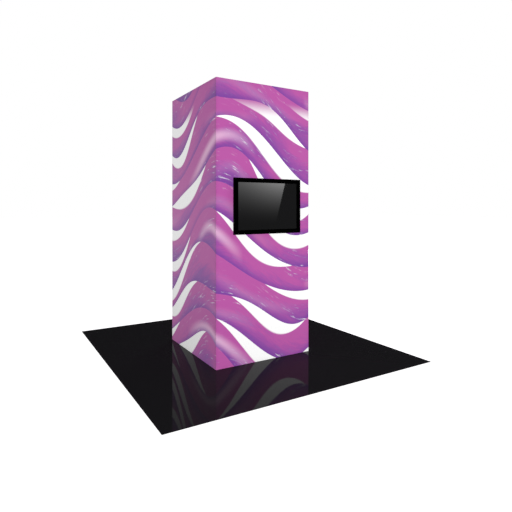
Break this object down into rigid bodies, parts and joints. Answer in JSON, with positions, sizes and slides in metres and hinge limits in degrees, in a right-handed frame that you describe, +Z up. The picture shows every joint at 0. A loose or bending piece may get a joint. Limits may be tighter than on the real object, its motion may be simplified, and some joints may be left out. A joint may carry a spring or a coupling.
{
  "type": "backlit fabric display tower with monitor",
  "caption": "Square backlit display tower covered in stretched printed fabric, with a tilting flat monitor on its front, standing on a gloss black floor sheet.",
  "frame": {"origin": "centre of the underside of the floor sheet, on the floor", "axes": "+Z up; the monitor hangs on the face towards -Y; +X is to the right of someone facing the monitor"},
  "size_m": [3.048, 3.048, 2.9994],
  "materials": {
    "printed_fabric": "backlit stretched polyester with a soft violet and pink print",
    "gloss_black": "high gloss black sheet",
    "satin_black": "satin black moulding",
    "gloss_key": "gloss black key",
    "black_metal": "black powder coat",
    "anodised": "satin anodised extrusion",
    "zinc": "zinc plated",
    "steel_plate": "plain folded sheet",
    "white_panel": "white enamel sheet",
    "white_enamel": "white enamel",
    "lens_plastic": "clear and white, lit from within",
    "grey_plastic": "plain grey moulding",
    "screen_glass": "near-black glass, switched off",
    "circuit_board": "green board",
    "cable_sheath": "matt black sheath"
  },
  "bodies": {
    "root": {"base_plate": "steel_plate", "bottom_bracket_front_left": "zinc", "bottom_bracket_front_right": "zinc", "bottom_bracket_rear_left": "zinc", "bottom_bracket_rear_right": "zinc", "bottom_rail_front": "anodised", "bottom_rail_left": "anodised", "bottom_rail_rear": "anodised", "bottom_rail_right": "anodised", "corner_post_front_left": "anodised", "corner_post_front_right": "anodised", "corner_post_rear_left": "anodised", "corner_post_rear_right": "anodised", "fabric_front": "printed_fabric", "fabric_left": "printed_fabric", "fabric_rear": "printed_fabric", "fabric_right": "printed_fabric", "floor_sheet": "gloss_black", "inlet_module": "satin_black", "inlet_plate": "black_metal", "junction_box": "grey_plastic", "led_bar_front": "lens_plastic", "led_bar_left": "lens_plastic", "led_bar_rear": "lens_plastic", "led_bar_right": "lens_plastic", "led_driver": "white_enamel", "light_lead": "cable_sheath", "light_mast": "white_enamel", "mains_cable": "cable_sheath", "mast_head_brace": "steel_plate", "monitor_cable": "cable_sheath", "mount_beam_lower": "anodised", "mount_beam_upper": "anodised", "pivot_pin_left": "zinc", "pivot_pin_right": "zinc", "standoff_lower_left": "anodised", "standoff_lower_right": "anodised", "standoff_upper_left": "anodised", "standoff_upper_right": "anodised", "top_bracket_front_left": "zinc", "top_bracket_front_right": "zinc", "top_bracket_rear_left": "zinc", "top_bracket_rear_right": "zinc", "top_panel": "white_panel", "top_rail_front": "anodised", "top_rail_left": "anodised", "top_rail_rear": "anodised", "top_rail_right": "anodised", "wall_plate": "black_metal"},
    "monitor": {"front_glass": "screen_glass", "lcd_panel": "grey_plastic", "main_board": "circuit_board", "monitor_bezel": "satin_black", "monitor_chassis": "steel_plate", "rear_cover": "satin_black", "tilt_arm_left": "black_metal", "tilt_arm_right": "black_metal"},
    "power_button": {"power_button": "grey_plastic"},
    "input_button": {"input_button": "grey_plastic"},
    "switch_rocker": {"switch_rocker": "gloss_key"}
  },
  "joints": [
    {"name": "monitor_tilt", "type": "hinge", "parent": "root", "child": "monitor", "pos_m": [0, -0.6165, 1.422], "axis": [1, 0, 0], "range_deg": [0, 12]},
    {"name": "power_press", "type": "slide", "parent": "monitor", "child": "power_button", "axis": [0, 0, 1], "range_m": [0, 0.001], "stiffness_N_per_m": 300},
    {"name": "input_press", "type": "slide", "parent": "monitor", "child": "input_button", "axis": [0, 0, 1], "range_m": [0, 0.001], "stiffness_N_per_m": 300},
    {"name": "switch_rock", "type": "hinge", "parent": "root", "child": "switch_rocker", "pos_m": [0.378, 0.6009, 0.0323], "axis": [0, 0, 1], "range_deg": [0, 12]}
  ]
}
